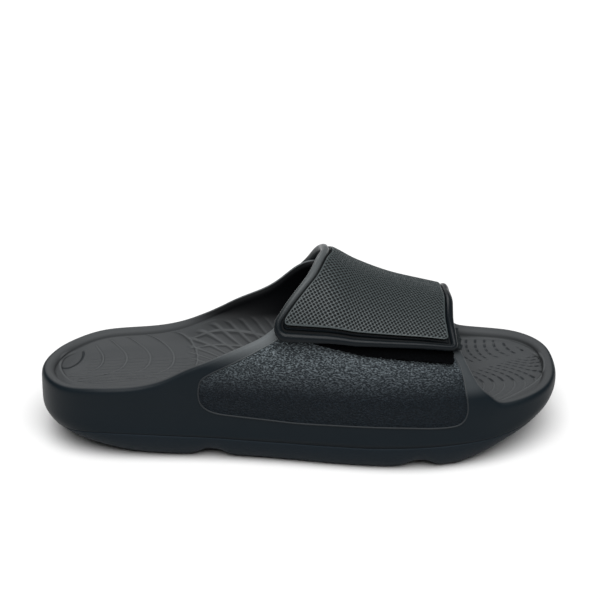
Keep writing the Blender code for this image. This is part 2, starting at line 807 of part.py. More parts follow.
def finish(name, colour, roughness):
    material = bpy.data.materials.new(name)
    material.use_nodes = True
    shader = material.node_tree.nodes["Principled BSDF"]
    shader.inputs["Base Color"].default_value = (*colour, 1)
    shader.inputs["Roughness"].default_value = roughness
    shader.inputs["Metallic"].default_value = 0
    return material


def centre_on_floor(pieces):
    """Moves all pieces together, so that their box stands on z = 0 and is centred on the origin."""
    points = np.array([vert.co for piece in pieces for vert in piece.data.vertices])
    low, high = points.min(axis=0), points.max(axis=0)
    shift = (-(low[0] + high[0]) / 2, -(low[1] + high[1]) / 2, -low[2])
    for piece in pieces:
        for vert in piece.data.vertices:
            vert.co = [value + by for value, by in zip(vert.co, shift)]
    print("moved by", [round(value * 1000, 3) for value in shift], "mm")


def main():
    for item in list(bpy.data.objects):
        bpy.data.objects.remove(item, do_unlink=True)
    sandal = bpy.data.collections.new("slide_sandal")
    bpy.context.scene.collection.children.link(sandal)

    foam = finish("charcoal_foam", (0.018, 0.020, 0.023), 0.45)
    tread = finish("black_tread", (0.014, 0.015, 0.017), 0.70)
    strap = finish("dark_grey_strap", (0.022, 0.022, 0.024), 0.50)
    hook = finish("black_hook_tape", (0.008, 0.008, 0.008), 0.85)
    loop = finish("black_loop_pad", (0.010, 0.010, 0.010), 0.95)

    loop_low = GAP
    loop_high = loop_low + LOOP_THICKNESS
    hook_high = STRAP_CLEARANCE - 3 * GAP
    hook_low = hook_high - HOOK_THICKNESS
    pieces = [
        build_outsole(sandal, tread),
        build_body(sandal, foam),
        build_strap(sandal, strap),
        build_pad("loop_pad", LOOP_BORDER, loop_low, loop_high, sandal, loop),
        build_pad("hook_tape", PAD_BORDER, hook_low, hook_high, sandal, hook),
    ]
    centre_on_floor(pieces)


main()
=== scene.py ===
import json
import math

import bmesh
import bpy
import numpy as np
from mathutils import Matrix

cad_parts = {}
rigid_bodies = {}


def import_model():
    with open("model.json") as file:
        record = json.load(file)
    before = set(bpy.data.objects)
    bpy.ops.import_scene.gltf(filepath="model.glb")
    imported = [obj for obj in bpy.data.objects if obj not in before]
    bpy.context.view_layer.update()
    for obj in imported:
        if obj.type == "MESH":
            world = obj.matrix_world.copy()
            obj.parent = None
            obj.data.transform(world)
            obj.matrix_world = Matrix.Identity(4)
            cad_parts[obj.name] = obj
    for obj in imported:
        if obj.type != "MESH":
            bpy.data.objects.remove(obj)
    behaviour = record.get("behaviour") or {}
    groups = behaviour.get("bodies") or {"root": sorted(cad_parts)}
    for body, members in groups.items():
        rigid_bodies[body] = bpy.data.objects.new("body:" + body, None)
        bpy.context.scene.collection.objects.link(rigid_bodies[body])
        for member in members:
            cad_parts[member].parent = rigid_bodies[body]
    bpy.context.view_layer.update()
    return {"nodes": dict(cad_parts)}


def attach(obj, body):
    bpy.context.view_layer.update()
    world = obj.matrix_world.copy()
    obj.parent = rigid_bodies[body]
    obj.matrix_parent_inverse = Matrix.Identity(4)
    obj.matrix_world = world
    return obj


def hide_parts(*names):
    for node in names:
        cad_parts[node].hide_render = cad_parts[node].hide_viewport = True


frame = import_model()
cadNodes = frame["nodes"]
bpy.ops.object.select_all(action="DESELECT")
print("frame loaded:", ", ".join(sorted(cadNodes)))


# The view: matched to the photo, looking down on the little-toe side with the toe to the right
view = {
    "target": (0.0001, -0.0004, 0.050),
    "distance": 0.900,
    "elevation": 27.0,  # degrees above the floor
    "tiltUp": 1.613,  # degrees, so that the sandal sits below the middle of the picture
    "lens": 95.9,
    "sensor": 36.0,
}


def addCamera(spec):
    rise = math.radians(spec["elevation"])
    x, y, z = spec["target"]
    place = (x, y - spec["distance"] * math.cos(rise), z + spec["distance"] * math.sin(rise))
    lean = math.pi / 2 - rise + math.radians(spec["tiltUp"])
    bpy.ops.object.camera_add(location=place, rotation=(lean, 0, 0))
    camera = bpy.context.object
    camera.name = "photoCamera"
    camera.data.lens = spec["lens"]
    camera.data.sensor_width = spec["sensor"]
    camera.data.clip_start = 0.05
    camera.data.clip_end = 20
    bpy.context.scene.camera = camera


addCamera(view)
print("camera set")


# Shader maths on sockets, written as plain expressions
class Wire:
    def __init__(self, tree, socket):
        self.tree = tree
        self.socket = socket

    def node(self, kind, settings, sockets, output=0):
        made = self.tree.nodes.new(kind)
        for name, value in settings.items():
            setattr(made, name, value)
        for name, value in sockets.items():
            if isinstance(value, Wire):
                self.tree.links.new(value.socket, made.inputs[name])
            else:
                made.inputs[name].default_value = value
        return Wire(self.tree, made.outputs[output])

    def maths(self, operation, first, second=0.0):
        return self.node("ShaderNodeMath", {"operation": operation}, {0: first, 1: second})

    def __add__(self, other):
        return self.maths("ADD", self, other)

    def __radd__(self, other):
        return self.maths("ADD", other, self)

    def __sub__(self, other):
        return self.maths("SUBTRACT", self, other)

    def __rsub__(self, other):
        return self.maths("SUBTRACT", other, self)

    def __mul__(self, other):
        return self.maths("MULTIPLY", self, other)

    def __rmul__(self, other):
        return self.maths("MULTIPLY", other, self)

    def __truediv__(self, other):
        return self.maths("DIVIDE", self, other)

    def __rtruediv__(self, other):
        return self.maths("DIVIDE", other, self)

    def __abs__(self):
        return self.maths("ABSOLUTE", self)


# The same pattern formulas serve the meshes, as arrays, and the shaders, as wires
def nearest(value):
    return value.maths("ROUND", value) if isinstance(value, Wire) else np.round(value)


def rootOf(value):
    return value.maths("SQRT", value) if isinstance(value, Wire) else np.sqrt(value)


def larger(first, second):
    if isinstance(first, Wire):
        return first.maths("MAXIMUM", first, second)
    return np.maximum(first, second)


def ramp(value, start, end):  # 0 before start, 1 after end, smooth between
    if isinstance(value, Wire):
        if start > end:
            return 1 - ramp(value, end, start)
        limits = {"Value": value, "From Min": start, "From Max": end}
        return value.node("ShaderNodeMapRange", {"interpolation_type": "SMOOTHSTEP"}, limits)
    share = np.clip((value - start) / (end - start), 0, 1)
    return share * share * (3 - 2 * share)


def between(value, start, end, soft):
    return ramp(value, start - soft / 2, start + soft / 2) * ramp(value, end + soft / 2, end - soft / 2)


def lines(value, first, pitch, width):  # 1 on each line of a family, 0 beside it
    count = (value - first) / pitch
    return ramp(abs(count - nearest(count)) * pitch, width * 0.75, width * 0.15)


# Footbed relief, in metres on the plan: arcs and an oval at the heel, a lattice in the arch,
# and two families of dashed curves under the toes
footbed = {
    "heelArcs": {
        "middle": 0.0135, "first": -0.1131, "last": -0.0588, "pitch": 0.01358, "bow": 25.0, "hook": 6.0e4,
        "outerEnd": (-0.016, -0.013),
    },
    "heelRows": {"slant": 0.12, "pitch": 0.0033, "from": -0.016, "to": 0.017, "share": 0.35},
    "oval": {"x": -0.1315, "y": 0.0120, "long": 0.0118, "short": 0.0046, "turn": 64.5},
    "lattice": {
        "slant": 2.2, "first": 0.0101, "pitch": 0.0079,
        "fromX": -0.064, "toX": 0.020, "fromY": 0.012, "toY": 0.0275,
    },
    "rails": {"levels": (0.0252, 0.0207), "slope": -0.07, "at": -0.050},
    "innerToe": {
        "first": 0.0983, "pitch": 0.0054, "top": 0.041, "bow": 27.0, "dash": 0.0036,
        "fromX": 0.060, "toX": 0.1335, "fromY": 0.0245, "toY": 0.0475, "edgeSlope": 0.27, "edgeAt": 0.104,
        "tilt": 0.35, "tiltFrom": 0.108, "tiltTo": 0.125,
        "gap": 0.15,  # share of the depth that is left between the dashes
    },
    "outerToe": {
        "first": 0.1044, "pitch": 0.0058, "crest": -0.004, "bow": 36.0, "dash": 0.0042,
        "fromX": 0.060, "toX": 0.1385, "outerEnd": (-0.027, -0.023), "innerEnd": (0.0255, 0.0245),
        "edge": (0.014, 0.012), "edgeSlope": 0.45, "edgeAt": 0.099,
        "gap": 0.15, "dashesFrom": (0.002, 0.005), "sunkFrom": (-0.003, 0.001),
        "raised": 0.5,  # share of the depth for the thin raised lines outside
    },
    "lineWidth": 0.0012,
    "depth": 0.00042,
    "raised": 0.8,  # share of the depth for the arcs and the lattice
    "borderHeight": 0.00030,
}


def heelRelief(x, y, width):
    arcs, rows, oval = footbed["heelArcs"], footbed["heelRows"], footbed["oval"]
    off = y - arcs["middle"]
    reach = x + arcs["bow"] * off * off + arcs["hook"] * off * off * off * off
    half = arcs["pitch"] / 2
    zone = between(reach, arcs["first"] - half, arcs["last"] + half, 0.001)
    zone = zone * ramp(y, *arcs["outerEnd"])
    bowed = lines(reach, arcs["first"], arcs["pitch"], width * 1.25) * zone
    field = between(reach, arcs["first"] - half, arcs["last"], 0.001)
    field = field * between(y, rows["from"], rows["to"], 0.003)
    fine = lines(y - rows["slant"] * x, 0.0, rows["pitch"], width * 0.5) * field
    turn = math.radians(oval["turn"])
    alongIt = (x - oval["x"]) * math.cos(turn) + (y - oval["y"]) * math.sin(turn)
    acrossIt = (y - oval["y"]) * math.cos(turn) - (x - oval["x"]) * math.sin(turn)
    alongIt, acrossIt = alongIt / oval["long"], acrossIt / oval["short"]
    ring = abs(rootOf(alongIt * alongIt + acrossIt * acrossIt) - 1) * oval["short"]
    sunk = fine * rows["share"] * (1 - bowed) + ramp(ring, width * 0.5, width * 0.1)
    return sunk - bowed * footbed["raised"]


def archRelief(x, y, width):
    lattice, rails = footbed["lattice"], footbed["rails"]
    steep = math.sqrt(1 + lattice["slant"] ** 2)
    zone = between(x, lattice["fromX"], lattice["toX"], 0.004)
    zone = zone * between(y, lattice["fromY"], lattice["toY"], 0.002)
    found = lines(x + lattice["slant"] * y, lattice["first"], lattice["pitch"], width * steep)
    for level in rails["levels"]:
        off = abs(y - rails["slope"] * (x - rails["at"]) - level)
        found = larger(found, ramp(off, width * 0.6, width * 0.15))
    return found * zone * -footbed["raised"]


def toeRelief(x, y, width):
    inner, outer = footbed["innerToe"], footbed["outerToe"]
    fall = inner["top"] - y
    tilt = inner["tilt"] * ramp(x, inner["tiltFrom"], inner["tiltTo"])
    path = x - inner["bow"] * fall * fall - tilt * fall
    level = y - inner["edgeSlope"] * (x - inner["edgeAt"])
    zone = between(x, inner["fromX"], inner["toX"], 0.002)
    zone = zone * between(level, inner["fromY"], inner["toY"], 0.0015)
    dashes = inner["gap"] + (1 - inner["gap"]) * lines(y, 0.0, inner["dash"], inner["dash"] * 0.70)
    found = lines(path, inner["first"], inner["pitch"], width) * zone * dashes
    rise = y - outer["crest"]
    path = x + outer["bow"] * rise * rise
    zone = between(x, outer["fromX"], outer["toX"], 0.002) * ramp(y, *outer["outerEnd"])
    zone = zone * ramp(y - outer["edgeSlope"] * (x - outer["edgeAt"]), *outer["edge"])
    zone = zone * ramp(y, *outer["innerEnd"])
    broken = lines(0.9 * x - 0.4 * y, 0.0, outer["dash"], outer["dash"] * 0.70)
    dashes = 1 - (1 - broken) * (1 - outer["gap"]) * ramp(y, *outer["dashesFrom"])
    dashes = dashes * ((1 + outer["raised"]) * ramp(y, *outer["sunkFrom"]) - outer["raised"])
    return found + lines(path, outer["first"], outer["pitch"], width * 1.1) * zone * dashes


def borderRelief(x, y, depth):  # the fine raised line along the border, by the depth inside it
    line = ramp(abs(depth), 0.0010, 0.0002)
    return line * ramp(abs(x + 0.02), 0.105, 0.115) * ramp(y, 0.030, 0.020)


def footbedRelief(x, y):  # above 0 sunk, below 0 raised
    width = footbed["lineWidth"]
    return heelRelief(x, y, width) + archRelief(x, y, width) + toeRelief(x, y, width)


def pickOnly(piece):
    bpy.ops.object.select_all(action="DESELECT")
    piece.select_set(True)
    bpy.context.view_layer.objects.active = piece


# Where body and outsole meet, low and flat faces keep their sharp edges while the rest is rounded
joint = {
    "flatness": 0.8,  # of the face's normal
    "highest": 0.03,
    "sharpness": 40.0,  # degrees
}


def creaseJoint(piece, faceUp):
    work = bmesh.new()
    work.from_mesh(piece.data)
    layer = work.edges.layers.float.new("crease_edge")
    for edge in work.edges:
        low = [face for face in edge.link_faces if face.calc_center_median().z < joint["highest"]]
        meets = any(face.normal.z * faceUp > joint["flatness"] for face in low)
        if meets and edge.calc_face_angle(0) > math.radians(joint["sharpness"]):
            edge[layer] = 1
    work.to_mesh(piece.data)
    work.free()


def workingCopy(nodeName, newName, rounds, faceUp):  # of a CAD solid, its triangles paired and rounded
    piece = bpy.data.objects.new(newName, cadNodes[nodeName].data.copy())
    bpy.context.scene.collection.objects.link(piece)
    piece.data.materials.clear()
    pickOnly(piece)
    bpy.ops.object.mode_set(mode="EDIT")
    bpy.ops.mesh.select_all(action="SELECT")
    bpy.ops.mesh.remove_doubles(threshold=0.00001)
    bpy.ops.mesh.tris_convert_to_quads(face_threshold=math.radians(60), shape_threshold=math.radians(60))
    bpy.ops.object.mode_set(mode="OBJECT")
    creaseJoint(piece, faceUp)
    smooth = piece.modifiers.new("smooth", "SUBSURF")
    smooth.levels = smooth.render_levels = rounds
    bpy.ops.object.modifier_apply(modifier=smooth.name)
    bpy.ops.object.shade_smooth_by_angle(angle=math.radians(60))
    return piece


def vertexPlaces(piece):
    places = np.empty(len(piece.data.vertices) * 3)
    piece.data.vertices.foreach_get("co", places)
    return places.reshape(-1, 3)


def vertexNormals(piece):
    normals = np.empty(len(piece.data.vertices) * 3)
    piece.data.vertex_normals.foreach_get("vector", normals)
    return normals.reshape(-1, 3)


def refine(piece, chosen, cuts):  # finer faces where every corner is chosen
    work = [all(chosen[i] for i in face.vertices) for face in piece.data.polygons]
    pickOnly(piece)
    bpy.ops.object.mode_set(mode="EDIT")
    bpy.ops.mesh.select_mode(type="FACE")
    bpy.ops.mesh.select_all(action="DESELECT")
    bpy.ops.object.mode_set(mode="OBJECT")
    piece.data.polygons.foreach_set("select", work)
    bpy.ops.object.mode_set(mode="EDIT")
    bpy.ops.mesh.subdivide(number_cuts=cuts)
    bpy.ops.object.mode_set(mode="OBJECT")


def weightGroup(piece, name, weights):  # a group keeps weights from 0 to 1
    group = piece.vertex_groups.new(name=name)
    for index in np.nonzero(weights > 0.001)[0]:
        group.add([int(index)], float(weights[index]), "REPLACE")


def emboss(piece, name, weights, height):  # moves the surface along its normals by weight times height
    weightGroup(piece, name, weights)
    press = piece.modifiers.new(name, "DISPLACE")
    press.direction = "NORMAL"
    press.mid_level = 0
    press.strength = height
    press.vertex_group = name
    pickOnly(piece)
    bpy.ops.object.modifier_apply(modifier=press.name)


def soften(piece, name, weights, rounds):  # evens out the surface where the weights say
    weightGroup(piece, name, weights)
    ease = piece.modifiers.new(name, "SMOOTH")
    ease.factor = 0.5
    ease.iterations = rounds
    ease.vertex_group = name
    pickOnly(piece)
    bpy.ops.object.modifier_apply(modifier=ease.name)


def paint(piece, name, values):  # one number for each point, for the material
    layer = piece.data.attributes.new(name, "FLOAT", "POINT")
    layer.data.foreach_set("value", np.asarray(values, np.float32))


def settle(piece, nodeName):
    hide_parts(nodeName)
    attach(piece, "root")


# Body: the moulded foam with footbed and wings
bodySpec = {
    "rounds": 2,
    "finerParts": ((-0.143, 0.004), (0.084, 0.140)),  # x ranges of the footbed with finer faces
    "panelOutline": (
        (-0.0551, 0.0430), (-0.0547, 0.0373), (-0.0521, 0.0330), (-0.0467, 0.0302), (-0.0380, 0.0289),
        (-0.0162, 0.0275), (-0.0015, 0.0268), (0.0190, 0.0270), (0.0409, 0.0272), (0.0593, 0.0272),
        (0.0718, 0.0267), (0.0810, 0.0267), (0.0862, 0.0276), (0.0893, 0.0302), (0.0907, 0.0345),
        (0.0904, 0.0400), (0.0893, 0.0462), (0.0884, 0.0510), (0.0860, 0.0575), (0.0790, 0.0640),
        (0.0600, 0.0690), (0.0300, 0.0740), (0.0020, 0.0765), (-0.0080, 0.0752), (-0.0142, 0.0713),
        (-0.0213, 0.0673), (-0.0277, 0.0637), (-0.0331, 0.0608), (-0.0416, 0.0563), (-0.0484, 0.0528),
        (-0.0535, 0.0490),
    ),
    "panelEdge": 0.00042,  # radius of the raised line round the grained panel
    "filletRounds": 40,
    "bedFrom": 0.020,  # heights of the footbed, and of its finer faces
    "bedTo": 0.060,
    "finerTo": 0.052,
    "litTopFrom": (0.018, 0.021),  # heights where the painted top light begins: upward faces are painted lighter than the walls
    "liningAndShadeFrom": (0.046, 0.056),  # heights where the inside of the wings turns dark: a darker lining and painted shade
    "ends": 0.085,  # beyond this, heel and toe face away from their own middle
    "middle": 0.006,
    # border of the patterned footbed on the plan
    "bedOutline": (
        (-0.1358, 0.0080), (-0.1325, 0.0150), (-0.1262, 0.0212), (-0.1136, 0.0300), (-0.0926, 0.0334),
        (-0.0645, 0.0319), (-0.0479, 0.0290), (-0.0358, 0.0285), (0.0000, 0.0310), (0.0400, 0.0370),
        (0.0800, 0.0438), (0.0959, 0.0454), (0.1110, 0.0452), (0.1190, 0.0427), (0.1290, 0.0357),
        (0.1360, 0.0270), (0.1396, 0.0160), (0.1392, 0.0045), (0.1358, -0.0035), (0.1291, -0.0098),
        (0.1178, -0.0198), (0.1050, -0.0290), (0.0800, -0.0360), (0.0400, -0.0380), (0.0000, -0.0330),
        (-0.0400, -0.0270), (-0.0800, -0.0230), (-0.1100, -0.0195), (-0.1275, -0.0110), (-0.1352, -0.0010),
    ),
}


def outlineRing(points, steps):  # a rounded closed line through the outline's points
    points = np.array(points)
    ring = []
    for i in range(len(points)):
        a, b, c, d = (points[(i + k) % len(points)] for k in (-1, 0, 1, 2))
        square, cube = 2 * a - 5 * b + 4 * c - d, 3 * b - a - 3 * c + d
        for t in np.arange(steps) / steps:
            ring.append(0.5 * (2 * b + (c - a) * t + square * t**2 + cube * t**3))
    return np.array(ring)


def depthInRing(ring, x, z):  # distance from the ring, positive inside it
    inside = np.zeros(len(x), bool)
    nearestLine = np.full(len(x), 1.0)
    for (x0, z0), (x1, z1) in zip(ring, np.roll(ring, -1, axis=0)):
        crosses = (z0 > z) != (z1 > z)
        inside ^= crosses & (x < (x1 - x0) * (z - z0) / ((z1 - z0) or 1e-12) + x0)
        spanX, spanZ = x1 - x0, z1 - z0
        along = np.clip(((x - x0) * spanX + (z - z0) * spanZ) / (spanX**2 + spanZ**2), 0, 1)
        nearestLine = np.minimum(nearestLine, np.hypot(x - x0 - along * spanX, z - z0 - along * spanZ))
    return np.where(inside, nearestLine, -nearestLine)


def makeBody(spec):
    body = workingCopy("moulded_body", "foamBody", spec["rounds"], -1)
    places, normals = vertexPlaces(body), vertexNormals(body)
    bedRing = outlineRing(spec["bedOutline"], 6)
    onBed = (normals[:, 2] > 0.35) & (places[:, 2] > spec["bedFrom"]) & (places[:, 2] < spec["finerTo"])
    onBed &= depthInRing(bedRing, places[:, 0], places[:, 1]) > -0.002
    onBed &= sum((places[:, 0] > first) & (places[:, 0] < last) for first, last in spec["finerParts"]) > 0
    refine(body, onBed, 1)
    places, normals = vertexPlaces(body), vertexNormals(body)
    x, y, z = places.T
    bedDepth = np.clip(depthInRing(bedRing, x, y), -0.01, 0.01)
    bedDepth = np.where((normals[:, 2] > 0.3) & (z > spec["bedFrom"]) & (z < spec["bedTo"]), bedDepth, -0.01)
    soften(body, "rimFillet", ramp(abs(bedDepth + 0.001), 0.0065, 0.0030), spec["filletRounds"])
    relief = footbedRelief(x, y) * ramp(bedDepth, 0.0004, 0.0016)
    emboss(body, "footbedSunk", larger(relief, 0.0), -footbed["depth"])
    emboss(body, "footbedRaised", larger(relief * -1, 0.0), footbed["depth"])
    emboss(body, "footbedBorder", borderRelief(x, y, bedDepth), footbed["borderHeight"])
    ring = outlineRing(spec["panelOutline"], 8)
    outward = (np.abs(normals[:, 1]) > 0.1) & ((normals[:, 1] < 0) == (y < 0))
    paint(body, "grainPanel", np.where(outward, depthInRing(ring, x, z) * 1000, -1))
    paint(body, "bedDepth", bedDepth * 1000)
    awayX, awayY = x - np.clip(x, -spec["ends"], spec["ends"]), y - spec["middle"]
    facing = (normals[:, 0] * awayX + normals[:, 1] * awayY) / np.maximum(np.hypot(awayX, awayY), 1e-5)
    # painted light: faces that look up are painted lighter than the walls, as if lit from above; the same
    # share makes the top rougher
    paintedTopLightAndMatte = ramp(facing, 0.60, 0.20) * ramp(z, *spec["litTopFrom"]) * ramp(-normals[:, 2], 0.3, 0.0)
    paint(body, "paintedTopLightAndMatte", paintedTopLightAndMatte)
    # inward faces high in the wings are painted near black: partly a darker lining, partly painted shade
    # inside the wings
    paint(body, "wingLiningAndShade", ramp(-normals[:, 1] * np.sign(y), 0.15, 0.5) * ramp(z, *spec["liningAndShadeFrom"]))
    bpy.ops.object.shade_smooth_by_angle(angle=math.radians(60))
    settle(body, "moulded_body")
    return body, ring


body, panelRing = makeBody(bodySpec)
print("body:", len(body.data.polygons), "faces")


# The fine raised line round the grained panel of either side
def makePanelEdge(name, side, ring, spec, target):
    found = []
    for x, z in ring:
        hit, place, normal, _ = target.ray_cast((x, side * 0.09, z), (0, -side, 0))
        if hit and side * place.y > 0.02 and side * normal.y > 0.1:
            found.append(place)
    curve = bpy.data.curves.new(name, "CURVE")
    curve.dimensions = "3D"
    curve.bevel_depth = spec["panelEdge"]
    curve.bevel_resolution = 3
    line = curve.splines.new("POLY")
    line.points.add(len(found) - 1)
    for point, place in zip(line.points, found):
        point.co = (*place, 1)
    line.use_cyclic_u = len(found) == len(ring)
    piece = bpy.data.objects.new(name, curve)
    bpy.context.scene.collection.objects.link(piece)
    pickOnly(piece)
    bpy.ops.object.convert(target="MESH")
    bpy.ops.object.shade_smooth()
    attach(piece, "root")
    print(name, "has", len(found), "of", len(ring), "points")
    return piece


panelEdges = [
    makePanelEdge("outerPanelEdge", -1, panelRing, bodySpec, body),
    makePanelEdge("innerPanelEdge", 1, panelRing, bodySpec, body),
]
print("panel edges made")


# Outsole: rounded corner band and tread
outsoleSpec = {"rounds": 2}


def makeOutsole(spec):
    outsole = workingCopy("outsole", "treadSole", spec["rounds"], 1)
    settle(outsole, "outsole")
    return outsole


outsole = makeOutsole(outsoleSpec)
print("outsole:", len(outsole.data.polygons), "faces")


# Strap: a bead round a recessed field, with the dimpled panel set into it
strapSpec = {
    "soleLength": 0.2925,
    "shift": (0.000078, -0.000413),  # of the whole sandal, to centre its box
    "archHeight": 0.1015,
    "archBase": 0.022,
    "archFullness": 2.2,
    # edges of the sole and its middle line by (x - 0.033) / 0.057, highest power first
    "outerEdge": (-0.000632, -0.000521, 0.001425, 0.004339, 0.004213, -0.006451, -0.052368),
    "innerEdge": (0.000765, -0.001036, -0.000756, -0.000587, -0.000485, 0.009531, 0.047281),
    "spine": (0.000037, 0.000017, -0.000024, -0.000007, 0.005994),
    # share of the length, height of the arch as a share of archHeight
    "ridge": (
        (0.36, 1.10), (0.45, 1.06), (0.545, 1.00), (0.60, 0.911), (0.67, 0.823), (0.74, 0.764),
        (0.79, 0.724), (0.84, 0.680), (0.91, 0.740), (1.00, 0.900),
    ),
    # share round the foot from the free end, rear edge and front edge as shares of the length
    "longEdges": (
        (0.00, 0.446, 0.786), (0.07, 0.455, 0.784), (0.13, 0.472, 0.782), (0.20, 0.493, 0.780),
        (0.27, 0.511, 0.781), (0.36, 0.524, 0.783), (0.48, 0.536, 0.784), (0.58, 0.535, 0.785),
        (0.68, 0.526, 0.785), (0.78, 0.513, 0.785), (0.86, 0.492, 0.786), (0.93, 0.468, 0.787),
        (1.00, 0.448, 0.788),
    ),
    # share across the strap, turn of the free end and of the fixed end in degrees
    "shortEdges": (
        (0.0, 33.8, 155.0), (0.1, 34.3, 154.6), (0.2, 35.1, 154.0), (0.3, 36.3, 153.1),
        (0.4, 38.3, 152.0), (0.5, 40.5, 150.5), (0.6, 42.7, 148.7), (0.7, 44.5, 147.1),
        (0.8, 45.8, 145.6), (0.9, 46.6, 144.2), (1.0, 47.2, 143.0),
    ),
    "stand": ((0.00, 1.0), (0.33, 1.0), (0.54, 0.0), (1.00, 0.0)),  # 1 over the hook-and-loop pads
    "freeStand": 0.0036,
    "fixedStand": 0.0006,
    "width": 0.0985,
    "border": 0.012,
    "turnLength": 0.052,  # length round the foot for one radian, near the free end
    "corners": (0.008, 0.0045, 0.010, 0.010),  # free rear, free front, fixed front, fixed rear
    "wall": 0.0045,
    "fieldDepth": 0.0021,
    # bead: inset from the edge and height, from the strap's inside round to the field
    "bead": (
        (0.00158, 0.00003), (0.00102, 0.00030), (0.00051, 0.00085), (0.00017, 0.00150), (0.00000, 0.00225),
        (0.00007, 0.00290), (0.00033, 0.00345), (0.00070, 0.00390), (0.00116, 0.00425), (0.00167, 0.00444),
        (0.00219, 0.00450), (0.00270, 0.00444), (0.00316, 0.00425), (0.00358, 0.00390), (0.00391, 0.00345),
        (0.00409, 0.00290), (0.00417, 0.00240),
    ),
    "beadAtEnd": 0.86,  # the bead narrows to this share of its width along the free end
    "ribMiddle": 0.0050,  # the thin rib beside the free end
    "ribHalf": 0.00055,
    "ribHeight": 0.0014,
    "panelInset": 0.0051,
    "panelFreeInset": 0.0064,
    "panelCorner": 0.0024,
    "dimplePitch": 0.00220,  # along a row
    "dimpleRows": 0.00125,  # between rows, every other row half a pitch further on
    "dimpleTurn": 12.0,  # degrees from the foot's length to the rows
    "dimpleSize": 0.00054,
    "dimpleDepth": 0.00060,
    "panelStep": 0.00056,
}


def smoothCurve(rows, columnIndex=1):  # a cubic through the rows that never swings past them
    places = np.array([row[0] for row in rows])
    values = np.array([row[columnIndex] for row in rows])
    spans = np.diff(places)
    slopes = np.diff(values) / spans
    leans = np.zeros(len(places))
    for i in range(1, len(places) - 1):
        before, after = slopes[i - 1], slopes[i]
        if before * after > 0:
            first = 2 * spans[i] + spans[i - 1]
            second = spans[i] + 2 * spans[i - 1]
            leans[i] = (first + second) / (first / before + second / after)
    leans[0], leans[-1] = slopes[0], slopes[-1]

    def at(place):
        place = np.clip(place, places[0], places[-1])
        i = np.clip(np.searchsorted(places, place) - 1, 0, len(spans) - 1)
        t = (place - places[i]) / spans[i]
        start = (1 + 2 * t) * (1 - t) ** 2 * values[i] + t * (1 - t) ** 2 * spans[i] * leans[i]
        return start + t * t * (3 - 2 * t) * values[i + 1] + t * t * (t - 1) * spans[i] * leans[i + 1]

    return at


